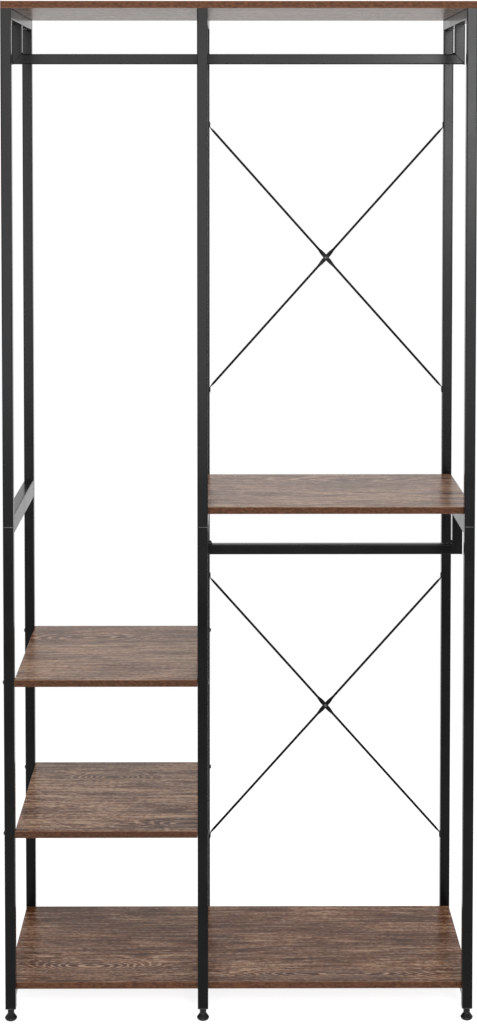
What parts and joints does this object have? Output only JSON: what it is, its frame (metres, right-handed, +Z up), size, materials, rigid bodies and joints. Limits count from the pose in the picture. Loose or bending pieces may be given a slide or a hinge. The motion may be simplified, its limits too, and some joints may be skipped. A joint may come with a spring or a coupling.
{
  "type": "clothes rack",
  "caption": "Tall free-standing clothes rack: black square-tube frames, wooden top, shelves and base, hanging rails, crossed wire braces and levelling feet.",
  "frame": {"origin": "on the floor, under the middle of the rack's width and depth", "axes": "+Z up; +X to the right as seen from the front, along the boards; +Y from the front to the back"},
  "size_m": [0.8544, 0.4036, 1.85],
  "materials": {
    "frame_metal": "satin black powder coat",
    "rail_metal": "satin black powder coat",
    "brace_metal": "black painted wire",
    "black_screws": "black oxide",
    "stud_steel": "zinc plated",
    "sleeve_steel": "bare drawn steel",
    "plug_plastic": "moulded black",
    "foot_plastic": "moulded glossy black",
    "bottom_board_wood": "rustic brown grained laminate, semi-gloss",
    "lower_left_shelf_wood": "rustic brown grained laminate, semi-gloss",
    "right_shelf_wood": "rustic brown grained laminate, semi-gloss",
    "top_board_wood": "rustic brown grained laminate, semi-gloss",
    "upper_left_shelf_wood": "rustic brown grained laminate, semi-gloss"
  },
  "bodies": {
    "rack": {"bottom_board": "bottom_board_wood", "bottom_board_screws": "black_screws", "brace_cross_bolts": "black_screws", "brace_cross_nuts": "black_screws", "brace_end_screws": "black_screws", "foot_plugs": "plug_plastic", "left_bottom_rung": "frame_metal", "left_lower_front_post": "frame_metal", "left_lower_rear_post": "frame_metal", "left_mid_rung": "frame_metal", "left_shelf_screws": "black_screws", "left_top_rung": "frame_metal", "left_upper_front_post": "frame_metal", "left_upper_rear_post": "frame_metal", "lower_brace_falling": "brace_metal", "lower_brace_rising": "brace_metal", "lower_left_shelf": "lower_left_shelf_wood", "lower_rail_bar": "rail_metal", "lower_rail_left_leg": "rail_metal", "lower_rail_right_leg": "rail_metal", "middle_bottom_rung": "frame_metal", "middle_lower_front_post": "frame_metal", "middle_lower_rear_post": "frame_metal", "middle_mid_rung": "frame_metal", "middle_top_rung": "frame_metal", "middle_upper_front_post": "frame_metal", "middle_upper_rear_post": "frame_metal", "post_sleeves": "sleeve_steel", "rail_bolts": "black_screws", "rail_leg_plugs": "plug_plastic", "right_bottom_rung": "frame_metal", "right_lower_front_post": "frame_metal", "right_lower_rear_post": "frame_metal", "right_mid_rung": "frame_metal", "right_shelf": "right_shelf_wood", "right_shelf_screws": "black_screws", "right_top_rung": "frame_metal", "right_upper_front_post": "frame_metal", "right_upper_rear_post": "frame_metal", "top_board": "top_board_wood", "top_board_screws": "black_screws", "top_rail_bar": "rail_metal", "top_rail_left_leg": "rail_metal", "top_rail_right_leg": "rail_metal", "upper_brace_falling": "brace_metal", "upper_brace_rising": "brace_metal", "upper_left_shelf": "upper_left_shelf_wood"},
    "left_front_foot": {"left_front_foot_pad": "foot_plastic", "left_front_foot_stud": "stud_steel"},
    "left_rear_foot": {"left_rear_foot_pad": "foot_plastic", "left_rear_foot_stud": "stud_steel"},
    "middle_front_foot": {"middle_front_foot_pad": "foot_plastic", "middle_front_foot_stud": "stud_steel"},
    "middle_rear_foot": {"middle_rear_foot_pad": "foot_plastic", "middle_rear_foot_stud": "stud_steel"},
    "right_front_foot": {"right_front_foot_pad": "foot_plastic", "right_front_foot_stud": "stud_steel"},
    "right_rear_foot": {"right_rear_foot_pad": "foot_plastic", "right_rear_foot_stud": "stud_steel"}
  },
  "joints": [
    {"name": "left_front_foot_screw", "type": "slide", "parent": "rack", "child": "left_front_foot", "axis": [0, 0, -1], "range_m": [0, 0.012]},
    {"name": "left_rear_foot_screw", "type": "slide", "parent": "rack", "child": "left_rear_foot", "axis": [0, 0, -1], "range_m": [0, 0.012]},
    {"name": "middle_front_foot_screw", "type": "slide", "parent": "rack", "child": "middle_front_foot", "axis": [0, 0, -1], "range_m": [0, 0.012]},
    {"name": "middle_rear_foot_screw", "type": "slide", "parent": "rack", "child": "middle_rear_foot", "axis": [0, 0, -1], "range_m": [0, 0.012]},
    {"name": "right_front_foot_screw", "type": "slide", "parent": "rack", "child": "right_front_foot", "axis": [0, 0, -1], "range_m": [0, 0.012]},
    {"name": "right_rear_foot_screw", "type": "slide", "parent": "rack", "child": "right_rear_foot", "axis": [0, 0, -1], "range_m": [0, 0.012]}
  ]
}
